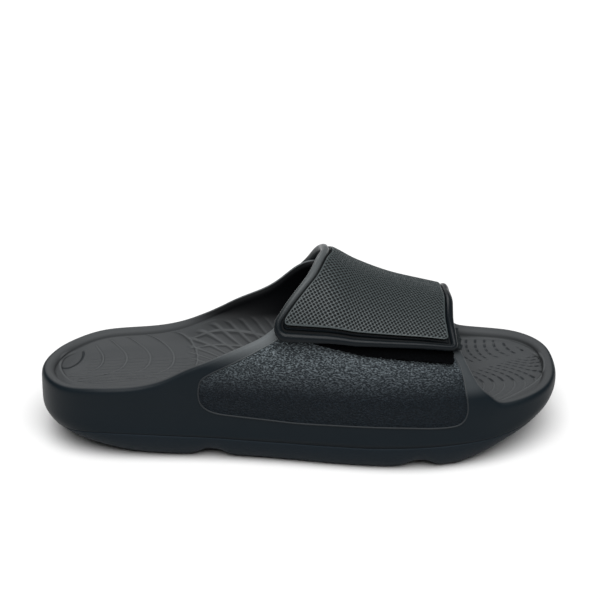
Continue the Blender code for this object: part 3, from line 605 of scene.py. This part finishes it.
class StrapShape:  # places on the strap, by x and the length run round the foot from the free end
    def __init__(self, spec):
        self.spec = spec
        self.ridge = smoothCurve(spec["ridge"])
        self.rearShare = smoothCurve(spec["longEdges"], 1)
        self.frontSheenShare = smoothCurve(spec["longEdges"], 2)
        self.freeTurn = smoothCurve(spec["shortEdges"], 1)
        self.fixedTurn = smoothCurve(spec["shortEdges"], 2)
        self.stand = smoothCurve(spec["stand"])
        self.rounds = np.linspace(0, 1, 61)
        middle = (self.edges(self.rounds)[0] + self.edges(self.rounds)[1]) / 2
        line = self.arch(middle, self.turn(self.rounds, 0.5))
        self.runs = np.concatenate([[0], np.cumsum(np.linalg.norm(np.diff(line, axis=0), axis=1))])
        self.length = self.runs[-1]

    def edges(self, round):
        size = self.spec["soleLength"]
        return (self.rearShare(round) - 0.5) * size, (self.frontSheenShare(round) - 0.5) * size

    def turn(self, round, across):
        free, fixed = self.freeTurn(across), self.fixedTurn(across)
        return np.radians(free + (fixed - free) * round)

    def arch(self, x, turn):
        spec = self.spec
        place = (x - 0.033) / 0.057
        middle = np.polyval(spec["spine"], place)
        outer = np.polyval(spec["outerEdge"], place)
        inner = np.polyval(spec["innerEdge"], place)
        reach = np.where(turn <= math.pi / 2, outer, inner) - middle
        power = 2 / spec["archFullness"]
        up = np.maximum(np.sin(turn), 0) ** power
        height = self.ridge(x / spec["soleLength"] + 0.5) * spec["archHeight"]
        y = middle + reach * np.abs(np.cos(turn)) ** power
        return np.stack([x, y, spec["archBase"] + (height - spec["archBase"]) * up], axis=-1)

    def over(self, x, turn, lift):  # the point at a height over the arch, square to it
        alongFoot = self.arch(x + 0.001, turn) - self.arch(x - 0.001, turn)
        roundFoot = self.arch(x, turn + 0.02) - self.arch(x, turn - 0.02)
        outward = np.cross(alongFoot, roundFoot)
        outward /= np.linalg.norm(outward, axis=-1, keepdims=True)
        return self.arch(x, turn) + outward * lift[..., None] + np.array([*self.spec["shift"], 0])

    def place(self, run, x, height):  # height above the strap's inside
        round = np.interp(run, self.runs, self.rounds)
        rear, front = self.edges(round)
        share = self.stand(round)
        lift = height + share * self.spec["freeStand"] + (1 - share) * self.spec["fixedStand"]
        return self.over(x, self.turn(round, (x - rear) / (front - rear)), lift)

    def below(self, run, x, height):  # height above the wing, where runs may start before the strap
        round = np.interp(np.maximum(run, 0), self.runs, self.rounds)
        rear, front = self.edges(round)
        turn = self.turn(round, (x - rear) / (front - rear)) + np.minimum(run, 0) / self.spec["turnLength"]
        return self.over(x, turn, height)

    def xAt(self, run, width):  # width is measured on the free end, and kept true near both edges
        border, full = self.spec["border"], self.spec["width"]
        rear, front = self.edges(np.interp(run, self.runs, self.rounds))
        real = front - rear
        inner = border + (width - border) * (real - 2 * border) / (full - 2 * border)
        wide = np.where(width > full - border, real - full + width, inner)
        return rear + np.where(width < border, width, wide)

    def ring(self, inset, count):  # run and width round the strap's outline, moved in by the inset
        full, length, spec = self.spec["width"], self.length, self.spec
        corners = ((0, 0), (0, full), (length, full), (length, 0))
        runs, widths = [], []
        for number, (run, width) in enumerate(corners):
            radius = spec["corners"][number]
            left = max(radius - inset, 0.0004)
            middleRun = run + (1 if run == 0 else -1) * (inset + left)
            middleWidth = width + (1 if width == 0 else -1) * (inset + left)
            turns = math.pi / 2 * (number + 1 + np.linspace(0, 1, 9))
            runs.append(middleRun + left * np.cos(turns))
            widths.append(middleWidth - left * np.sin(turns))
            nextRun, nextWidth = corners[(number + 1) % 4]
            shares = np.linspace(0, 1, count + 2)[1:-1]
            if nextRun == run:
                step = spec["border"] + (full - 2 * spec["border"]) * shares
                widths.append(step if nextWidth > width else full - step)
                runs.append(np.full(count, run + (inset if run == 0 else -inset)))
            else:
                step = spec["border"] + (length - 2 * spec["border"]) * shares
                runs.append(step if nextRun > run else length - step)
                widths.append(np.full(count, width + (inset if width == 0 else -inset)))
        runs, widths = np.concatenate(runs), np.concatenate(widths)
        return np.append(runs, runs[0]), np.append(widths, widths[0])


def shapedGrid(name, columns, rows, shape):  # a grid moved and painted as shape says
    bpy.ops.object.select_all(action="DESELECT")
    bpy.ops.mesh.primitive_grid_add(x_subdivisions=columns, y_subdivisions=rows, size=1)
    piece = bpy.context.object
    piece.name = piece.data.name = name
    flat = vertexPlaces(piece)
    column = np.rint((flat[:, 0] + 0.5) * columns).astype(int)
    row = np.rint((flat[:, 1] + 0.5) * rows).astype(int)
    places, painted = shape(column, row)
    piece.data.vertices.foreach_set("co", places.ravel())
    piece.data.update()
    for key, values in painted.items():
        paint(piece, key, values)
    bpy.ops.object.mode_set(mode="EDIT")
    bpy.ops.mesh.select_all(action="SELECT")
    bpy.ops.mesh.remove_doubles(threshold=0.00002)
    bpy.ops.mesh.normals_make_consistent(inside=False)
    bpy.ops.object.mode_set(mode="OBJECT")
    return piece


def makeStrap(spec, form):
    floor = spec["wall"] - spec["fieldDepth"]
    profile = [(0.0030, 0.0), *spec["bead"]]
    rib = spec["ribMiddle"] + spec["ribHalf"] * np.array([-1.4, -1, -0.7, -0.35, 0, 0.35, 0.7, 1, 1.4])
    profile += [*((inset, floor) for inset in rib), (0.0075, floor)]
    shares = (1.0, 0.75, 0.5, 0.25)
    count = 44
    places = []

    def toMiddle(runs, widths, share):
        reach = 1.5 * spec["border"]
        middle = np.clip(runs, reach, form.length - reach)
        return runs + (middle - runs) * share, widths + (spec["width"] / 2 - widths) * share

    for share in shares:
        places.append((*toMiddle(*form.ring(profile[0][0], count), share), 0.0))
    for inset, height in profile:
        runs, widths = form.ring(inset, count)
        if inset < spec["ribMiddle"] - spec["ribHalf"] * 1.4:
            slimRuns, slimWidths = form.ring(inset * spec["beadAtEnd"], count)
            atEnd = ramp(runs, 0.012, 0.003)
            runs, widths = runs + (slimRuns - runs) * atEnd, widths + (slimWidths - widths) * atEnd
        share = ramp(abs(inset - spec["ribMiddle"]), spec["ribHalf"], 0.0)
        front = ramp(widths, spec["width"] - 0.006, spec["width"] - 0.016)
        fade = ramp(runs, 0.030, 0.012) * (0.35 + 0.65 * front)
        places.append((runs, widths, height + spec["ribHeight"] * share * fade))
    for share in shares[::-1]:
        places.append((*toMiddle(*form.ring(profile[-1][0], count), share), floor))
    beadEnd = len(shares) + len(spec["bead"])
    table, hollowShades = [], []
    for number, (runs, widths, height) in enumerate(places):
        table.append(form.place(runs, form.xAt(runs, widths), height + 0 * runs))
        # painted shade: the recessed field and channel beside the bead are marked for darkening
        hollowShades.append(ramp(floor + 0.0009 - height, 0, 0.0009) * (number >= beadEnd) + 0 * runs)
    table, hollowShades = np.array(table), np.array(hollowShades)
    strap = shapedGrid(
        "instepStrap", table.shape[1] - 1, table.shape[0] - 1,
        lambda column, row: (table[row, column], {"hollowShade": hollowShades[row, column]}),
    )
    bpy.ops.object.shade_smooth_by_angle(angle=math.radians(50))
    settle(strap, "strap")
    return strap


def dimpleRelief(alongFoot, roundFoot, spec):  # 1 in the middle of each dimple, 0 between them
    turn = math.radians(spec["dimpleTurn"])
    alongRow = alongFoot * math.cos(turn) - roundFoot * math.sin(turn)
    acrossRow = alongFoot * math.sin(turn) + roundFoot * math.cos(turn)
    deepest = 0
    for shift in (0, 0.5):
        first = alongRow / spec["dimplePitch"] + shift
        second = acrossRow / (2 * spec["dimpleRows"]) + shift
        first = (first - nearest(first)) * spec["dimplePitch"]
        second = (second - nearest(second)) * 2 * spec["dimpleRows"]
        off = rootOf(first * first + second * second)
        deepest = deepest + ramp(off, spec["dimpleSize"] * 1.35, spec["dimpleSize"] * 0.55)
    return deepest


def makePanel(spec, form):
    step = spec["panelStep"]
    firstRun, lastRun = spec["panelFreeInset"], form.length - spec["panelInset"]
    runs = np.linspace(firstRun, lastRun, 240)
    firstX, lastX = form.edges(0.0)[0], form.edges(1.0)[1]
    columns = math.ceil((lastX - firstX) / step)
    columnX = firstX + np.arange(columns + 1) * step
    gridX, gridRuns = np.meshgrid(columnX, runs, indexing="ij")
    surface = form.place(gridRuns, gridX, np.zeros_like(gridX))
    lengths = np.cumsum(np.linalg.norm(np.diff(surface, axis=1), axis=2), axis=1)
    lengths = np.insert(lengths, 0, 0.0, axis=1)  # true lengths round the foot at each x
    rows = math.ceil(lengths.max() / step)
    runAt = np.array([np.interp(np.arange(rows + 1) * step, line, runs) for line in lengths])

    def shape(column, row):
        x, run = columnX[column], runAt[column, row]
        corner = spec["panelCorner"]
        for _ in range(6):  # places outside move to the edge, and their run is read again there
            fromEnd = np.minimum(run - firstRun, lastRun - run)
            cut = corner - np.sqrt(np.maximum(corner**2 - np.maximum(corner - fromEnd, 0) ** 2, 0))
            rear, front = form.edges(np.interp(run, form.runs, form.rounds))
            rear, front = rear + spec["panelInset"] + cut, front - spec["panelInset"] - cut
            x = np.clip(columnX[column], rear, front)
            place = np.clip((x - firstX) / step, 0, columns - 0.001)
            low, share = place.astype(int), place % 1
            run = runAt[low, row] * (1 - share) + runAt[low + 1, row] * share
        fromEdge = np.minimum(np.minimum(x - rear, front - x), fromEnd)
        roundFoot = np.minimum(row * step, lengths[low, -1] * (1 - share) + lengths[low + 1, -1] * share)
        dimple = dimpleRelief(x, roundFoot, spec) * ramp(fromEdge, 0.0004, 0.0010)
        lowered = 0.0003 * ramp(fromEdge, 0.0007, 0.0) + dimple * spec["dimpleDepth"]
        painted = {"alongFoot": x * 1000, "roundFoot": roundFoot * 1000, "fromEdge": fromEdge * 1000}
        return form.place(run, x, spec["wall"] - lowered), painted

    panel = shapedGrid("dimpledPanel", columns, rows, shape)
    wall = panel.modifiers.new("wall", "SOLIDIFY")
    wall.thickness = spec["fieldDepth"] + 0.0001
    wall.offset = -1
    bpy.ops.object.modifier_apply(modifier=wall.name)
    bpy.ops.object.shade_smooth_by_angle(angle=math.radians(60))
    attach(panel, "root")
    return panel


strapForm = StrapShape(strapSpec)
strap = makeStrap(strapSpec, strapForm)
dimpledPanel = makePanel(strapSpec, strapForm)
print("strap:", len(strap.data.polygons), "faces, panel:", len(dimpledPanel.data.polygons), "faces")


# Hook tape under the strap's free end, and the loop pad on the wing, which shows below it
padSpec = {
    "hook": {
        "runs": (0.0035, 0.0190), "rear": 0.0035, "front": -0.0030, "heights": (0.0024, 0.0036), "rows": 12,
        "drop": 0.0, "rise": 0.0,
    },
    "loop": {
        "runs": (-0.0030, 0.0200), "rear": 0.0095, "front": 0.0012, "heights": (0.0003, 0.0019), "rows": 18,
        "drop": 0.0024,  # how much further it comes down at its front
        "rise": 0.0050,  # how much higher its lower edge starts at the rear
    },
    "columns": 72,
    "fuzz": 0.00022,
}


def makePad(name, nodeName, kind, form):
    spec = padSpec[kind]
    columns, rows = padSpec["columns"], spec["rows"]
    low, high = spec["heights"]
    wobble = np.random.default_rng(7).normal(0, padSpec["fuzz"], (columns + 3, rows + 3))

    def shape(column, row):  # the first and last rows and columns fold down to the underside
        down = (column == 0) | (row == 0) | (column == columns + 2) | (row == rows + 2)
        across = np.clip((column - 1) / columns, 0, 1)
        round = np.clip((row - 1) / rows, 0, 1)
        first = spec["runs"][0] - spec["drop"] * across + spec["rise"] * (1 - across) ** 3
        run = first + (spec["runs"][1] - first) * round
        rear, front = form.edges(np.interp(np.maximum(run, 0), form.runs, form.rounds))
        x = rear + spec["rear"] + (front - spec["front"] - rear - spec["rear"]) * across
        ragged = wobble[column, row]
        edge = (round < 0.01) | (across > 0.99)
        place = form.below(run + ragged * edge, x + ragged * edge, np.where(down, low, high + ragged * 0.5))
        return place, {}

    pad = shapedGrid(name, columns + 2, rows + 2, shape)
    bpy.ops.object.shade_smooth_by_angle(angle=math.radians(60))
    settle(pad, nodeName)
    return pad


hookTape = makePad("hookTape", "hook_tape", "hook", strapForm)
loopPad = makePad("loopPad", "loop_pad", "loop", strapForm)
print("hook-and-loop pads made")


# Materials
def startMaterial(name, looks):
    material = bpy.data.materials.new(name)
    material.use_nodes = True
    tree = material.node_tree
    shader = tree.nodes["Principled BSDF"]
    shader.inputs["Base Color"].default_value = (*looks["colour"], 1)
    shader.inputs["Roughness"].default_value = looks["roughness"]
    shader.inputs["Specular IOR Level"].default_value = looks["gloss"]
    coordinates = tree.nodes.new("ShaderNodeTexCoord")
    return material, shader, Wire(tree, coordinates.outputs["Object"])


def noise(place, scale, detail=2.0, roughness=0.5):
    values = {"Vector": place, "Scale": scale, "Detail": detail, "Roughness": roughness}
    return place.node("ShaderNodeTexNoise", {}, values)


def attribute(place, name):
    return place.node("ShaderNodeAttribute", {"attribute_name": name}, {}, "Fac")


def axis(place, name):
    return place.node("ShaderNodeSeparateXYZ", {}, {"Vector": place}, name)


def link(shader, socketName, wire):
    wire.tree.links.new(wire.socket, shader.inputs[socketName])


def bump(shader, height, distance):  # height in 0 to 1, distance in metres
    sockets = {"Height": height, "Distance": distance, "Strength": 1.0}
    link(shader, "Normal", height.node("ShaderNodeBump", {}, sockets))


def tint(place, amount, first, second):  # mix of two colours
    first = first if isinstance(first, Wire) else (*first, 1)
    second = second if isinstance(second, Wire) else (*second, 1)
    return place.node("ShaderNodeMix", {"data_type": "RGBA"}, {0: amount, 6: first, 7: second}, 2)


foamLooks = {
    "colour": (0.0026, 0.0055, 0.0080),
    # painted top light: the lighter colour painted on upward faces of the same dark foam
    "paintedLitTopColour": (0.041, 0.0435, 0.0455),
    # colour of the wing insides: a darker lining with painted shade
    "liningAndShadeColour": (0.0010, 0.0013, 0.0018),
    "paintedRidgeHighlight": (0.066, 0.070, 0.072),
    "paintedBandSheen": (0.088, 0.096, 0.100),  # painted sheen on the smooth band round the wing, towards its top
    "rearSheenHeights": (0.055, 0.072),  # heights between which the painted sheen lightens it
    "frontSheenHeights": (0.040, 0.047),
    "frontSheenShare": 0.30,
    "frontSheenFrom": (0.078, 0.086),  # along the foot
    "roughness": 0.46,
    "bedRoughness": 0.62,
    "gloss": 0.12,
    "skinScale": 1400.0,  # per metre
    "blotchScale": 60.0,
    "reliefDepth": 0.0010,
    "reliefShadeAndHighlight": 0.6,
}
leatherLooks = {
    "colour": (0.0048, 0.0088, 0.0130),
    "paintedSheenColour": (0.135, 0.159, 0.172),
    "paintedCreaseShade": (0.0006, 0.0016, 0.0026),
    "sheenHeights": (0.040, 0.067),  # heights between which a painted sheen lightens the leather
    "roughness": 0.40,
    "gloss": 0.11,
    "scale": 1650.0,  # grains per metre
    "depth": 0.00080,
    "stretch": (0.50, 1.0, 1.0),
}


def leatherShader(looks, material, place):  # short wavy wrinkles, a little longer along the foot
    shader = material.node_tree.nodes.new("ShaderNodeBsdfPrincipled")
    shader.inputs["Specular IOR Level"].default_value = looks["gloss"]
    drawn = place.node("ShaderNodeMapping", {}, {"Vector": place, "Scale": looks["stretch"]})
    pebble = ramp(noise(drawn, looks["scale"], 2.0, 0.55), 0.33, 0.67)
    height = pebble * 0.7 + noise(drawn, looks["scale"] * 2.0, 2.0, 0.6) * 0.3
    bump(shader, height, looks["depth"])
    # painted sheen: lighter towards the top, on the crowns of the grain
    leatherSheen = ramp(axis(place, "Z"), *looks["sheenHeights"])
    surface = tint(place, leatherSheen * (0.25 + 0.75 * pebble), looks["colour"], looks["paintedSheenColour"])
    # painted shade in the creases between the grain's crowns
    link(shader, "Base Color", tint(place, 0.33 + 0.67 * pebble, looks["paintedCreaseShade"], surface))
    link(shader, "Roughness", looks["roughness"] + (1 - pebble) * 0.2)
    return shader


def foamMaterial(looks):
    material, shader, place = startMaterial("charcoalFoam", looks)
    panel, topLightAndMatte = ramp(attribute(place, "grainPanel"), 0.0, 0.6), attribute(place, "paintedTopLightAndMatte")
    skin = noise(place, looks["skinScale"], 3.0)
    blotch = noise(place, looks["blotchScale"], 2.0)
    alongFoot, acrossFoot, depth = axis(place, "X"), axis(place, "Y"), attribute(place, "bedDepth") * 0.001
    relief = footbedRelief(alongFoot, acrossFoot) * ramp(depth, 0.0004, 0.0016)
    relief = relief - borderRelief(alongFoot, acrossFoot, depth) * 0.8
    bump(shader, skin * 0.05 - relief * 0.40, looks["reliefDepth"])
    # painted sheen: the band round the wing is painted lighter towards its top, where it catches the light
    front = ramp(alongFoot, *looks["frontSheenFrom"])
    paintedSheen = ramp(axis(place, "Z"), *looks["rearSheenHeights"]) * (1 - front)
    paintedSheen = paintedSheen + ramp(axis(place, "Z"), *looks["frontSheenHeights"]) * front * looks["frontSheenShare"]
    # painted top light: upward faces take the lighter colour, the walls keep the dark one
    outside = tint(place, topLightAndMatte * 0.92 + blotch * 0.04, looks["colour"], looks["paintedLitTopColour"])
    outside = tint(place, paintedSheen, outside, looks["paintedBandSheen"])
    # painted shade in the sunk footbed lines and painted highlight on the raised ones
    outside = tint(place, larger(relief, 0.0) * looks["reliefShadeAndHighlight"], outside, looks["colour"])
    outside = tint(place, larger(relief * -1, 0.0) * looks["reliefShadeAndHighlight"], outside, looks["paintedRidgeHighlight"])
    link(shader, "Base Color", tint(place, attribute(place, "wingLiningAndShade"), outside, looks["liningAndShadeColour"]))
    rough = looks["roughness"] + (looks["bedRoughness"] - looks["roughness"]) * topLightAndMatte + (skin - 0.5) * 0.08
    link(shader, "Roughness", rough)
    grained = leatherShader(leatherLooks, material, place)
    both = place.node("ShaderNodeMixShader", {}, {0: panel})
    tree = material.node_tree
    tree.links.new(shader.outputs[0], both.socket.node.inputs[1])
    tree.links.new(grained.outputs[0], both.socket.node.inputs[2])
    tree.links.new(both.socket, tree.nodes["Material Output"].inputs["Surface"])
    return material


soleLooks = {
    "colour": (0.0046, 0.0086, 0.0125),
    "blotchColour": (0.0065, 0.0105, 0.0145),
    "blotchScale": 90.0,
    "roughness": 0.60,
    "gloss": 0.10,
    "grainScale": 1700.0,
    "grainDepth": 0.00022,
}


def soleMaterial(looks):
    material, shader, place = startMaterial("blackTread", looks)
    grain = noise(place, looks["grainScale"], 3.0, 0.6)
    blotch = noise(place, looks["blotchScale"], 2.0)
    bump(shader, grain, looks["grainDepth"])
    link(shader, "Base Color", tint(place, blotch * 0.5, looks["colour"], looks["blotchColour"]))
    link(shader, "Roughness", looks["roughness"] + (blotch - 0.5) * 0.12)
    return material


panelLooks = {
    "name": "dimpledDarkGrey",
    "colour": (0.0300, 0.0375, 0.0390),
    "worn": (0.040, 0.049, 0.051),
    # painted shade colour in the dimples
    "hollowShade": (0.0008, 0.0010, 0.0014),
    "roughness": 0.44,
    "gloss": 0.26,
    "skinScale": 1500.0,
    "bumpDepth": 0.00070,
    "dimples": True,
}
beadLooks = {
    "name": "satinBlackEdge",
    "colour": (0.0035, 0.0052, 0.0066),
    "worn": (0.0050, 0.0070, 0.0085),
    # painted shade colour in the recessed field beside the bead
    "hollowShade": (0.0022, 0.0030, 0.0036),
    "paintedStrapLight": (0.060, 0.066, 0.068),  # painted light: the bead is painted lighter towards the top of the strap, where the light falls
    # heights between which the painted light comes in
    "heights": (0.080, 0.106),
    "roughness": 0.34,
    "gloss": 0.11,
    "skinScale": 1500.0,
    "bumpDepth": 0.00006,
    "dimples": False,
}


def strapMaterial(looks):
    material, shader, place = startMaterial(looks["name"], looks)
    skin = noise(place, looks["skinScale"], 3.0)
    surface = tint(place, skin * 0.4, looks["colour"], looks["worn"])
    if looks["dimples"]:
        alongFoot, roundFoot = attribute(place, "alongFoot") * 0.001, attribute(place, "roundFoot") * 0.001
        hollowShade = dimpleRelief(alongFoot, roundFoot, strapSpec) * ramp(attribute(place, "fromEdge"), 0.4, 1.0)
        bump(shader, skin * 0.1 - hollowShade, looks["bumpDepth"])
        rough = looks["roughness"] + hollowShade * 0.3
    else:
        hollowShade = attribute(place, "hollowShade")
        # painted light: lighter the higher the bead runs
        surface = tint(place, ramp(axis(place, "Z"), *looks["heights"]), surface, looks["paintedStrapLight"])
        bump(shader, skin, looks["bumpDepth"])
        rough = looks["roughness"] + hollowShade * 0.3 + (skin - 0.5) * 0.1
    link(shader, "Roughness", rough)
    # painted shade in the hollows: the dimples and the recessed field are darkened
    link(shader, "Base Color", tint(place, hollowShade, surface, looks["hollowShade"]))
    return material


def tapeMaterial(name, looks):
    material, shader, place = startMaterial(name, looks)
    nap = noise(place, looks["scale"], 4.0, 0.7)
    bump(shader, nap, looks["depth"])
    link(shader, "Base Color", tint(place, ramp(nap, 0.45, 0.75), looks["colour"], looks["tip"]))
    link(shader, "Roughness", looks["roughness"] + (nap - 0.5) * 0.1)
    return material


hookLooks = {
    "colour": (0.0060, 0.0080, 0.0090), "tip": (0.026, 0.030, 0.032), "roughness": 0.7, "gloss": 0.10,
    "scale": 1100.0, "depth": 0.0008,
}
# the loop pad is black, and its colour is set darker still as painted shade under the strap's free end
loopLooks = {
    "colour": (0.0005, 0.0006, 0.0008), "tip": (0.0022, 0.0026, 0.0032), "roughness": 0.9, "gloss": 0.03,
    "scale": 1600.0, "depth": 0.0006,
}

foam = foamMaterial(foamLooks)
body.data.materials.append(foam)
# the panel edge gets part of the painted top light
panelEdgePaint = {"grainPanel": -1.0, "bedDepth": -5.0, "paintedTopLightAndMatte": 0.42, "wingLiningAndShade": 0.0}
for piece in panelEdges:
    for name, value in panelEdgePaint.items():
        paint(piece, name, np.full(len(piece.data.vertices), value))
    piece.data.materials.append(foam)
outsole.data.materials.append(soleMaterial(soleLooks))
strap.data.materials.append(strapMaterial(beadLooks))
dimpledPanel.data.materials.append(strapMaterial(panelLooks))
hookTape.data.materials.append(tapeMaterial("blackHooks", hookLooks))
loopPad.data.materials.append(tapeMaterial("blackLoopsAndShade", loopLooks))
print("materials made")


# Studio: pale floor, pale surround and soft lights
studio = {
    "floor": (0.62, 0.62, 0.62),
    "floorRoughness": 0.9,
    "floorGloss": 0.1,
    "surround": (1.0, 1.0, 1.0),
    "surroundStrength": 0.09,
    "sun": {"from": (0.05, -0.42, 0.91), "strength": 5.4, "spread": 62.0},  # a wide soft light from above
    "lights": (
        # place, aimed at, size, watts
        ("backSoftbox", (-0.30, 1.20, 0.90), (0.0, 0.0, 0.05), 0.9, 5.0),
    ),
}


def aimLight(light, place, aim):
    towards = [there - here for here, there in zip(place, aim)]
    flat = math.hypot(towards[0], towards[1])
    turn = math.atan2(towards[1], towards[0]) - math.pi / 2
    light.rotation_euler = (math.atan2(flat, -towards[2]), 0, turn)


def addStudio(spec):
    bpy.ops.mesh.primitive_plane_add(size=8, location=(0, 0, 0))
    floor = bpy.context.object
    floor.name = "floor"
    material = bpy.data.materials.new("paleFloor")
    material.use_nodes = True
    shader = material.node_tree.nodes["Principled BSDF"]
    shader.inputs["Base Color"].default_value = (*spec["floor"], 1)
    shader.inputs["Roughness"].default_value = spec["floorRoughness"]
    shader.inputs["Specular IOR Level"].default_value = spec["floorGloss"]
    floor.data.materials.append(material)
    world = bpy.data.worlds.new("paleSurround")
    world.use_nodes = True
    sky = world.node_tree.nodes["Background"]
    sky.inputs["Color"].default_value = (*spec["surround"], 1)
    sky.inputs["Strength"].default_value = spec["surroundStrength"]
    bpy.context.scene.world = world
    bpy.context.scene.view_settings.view_transform = "Standard"
    sun = spec["sun"]
    bpy.ops.object.light_add(type="SUN", location=sun["from"])
    light = bpy.context.object
    light.name = "softSun"
    light.data.energy = sun["strength"]
    light.data.angle = math.radians(sun["spread"])
    aimLight(light, sun["from"], (0, 0, 0))
    for name, place, aim, size, watts in spec["lights"]:
        bpy.ops.object.light_add(type="AREA", location=place)
        light = bpy.context.object
        light.name = name
        light.data.shape = "DISK"
        light.data.size = size
        light.data.energy = watts
        aimLight(light, place, aim)


addStudio(studio)
print("studio lit")
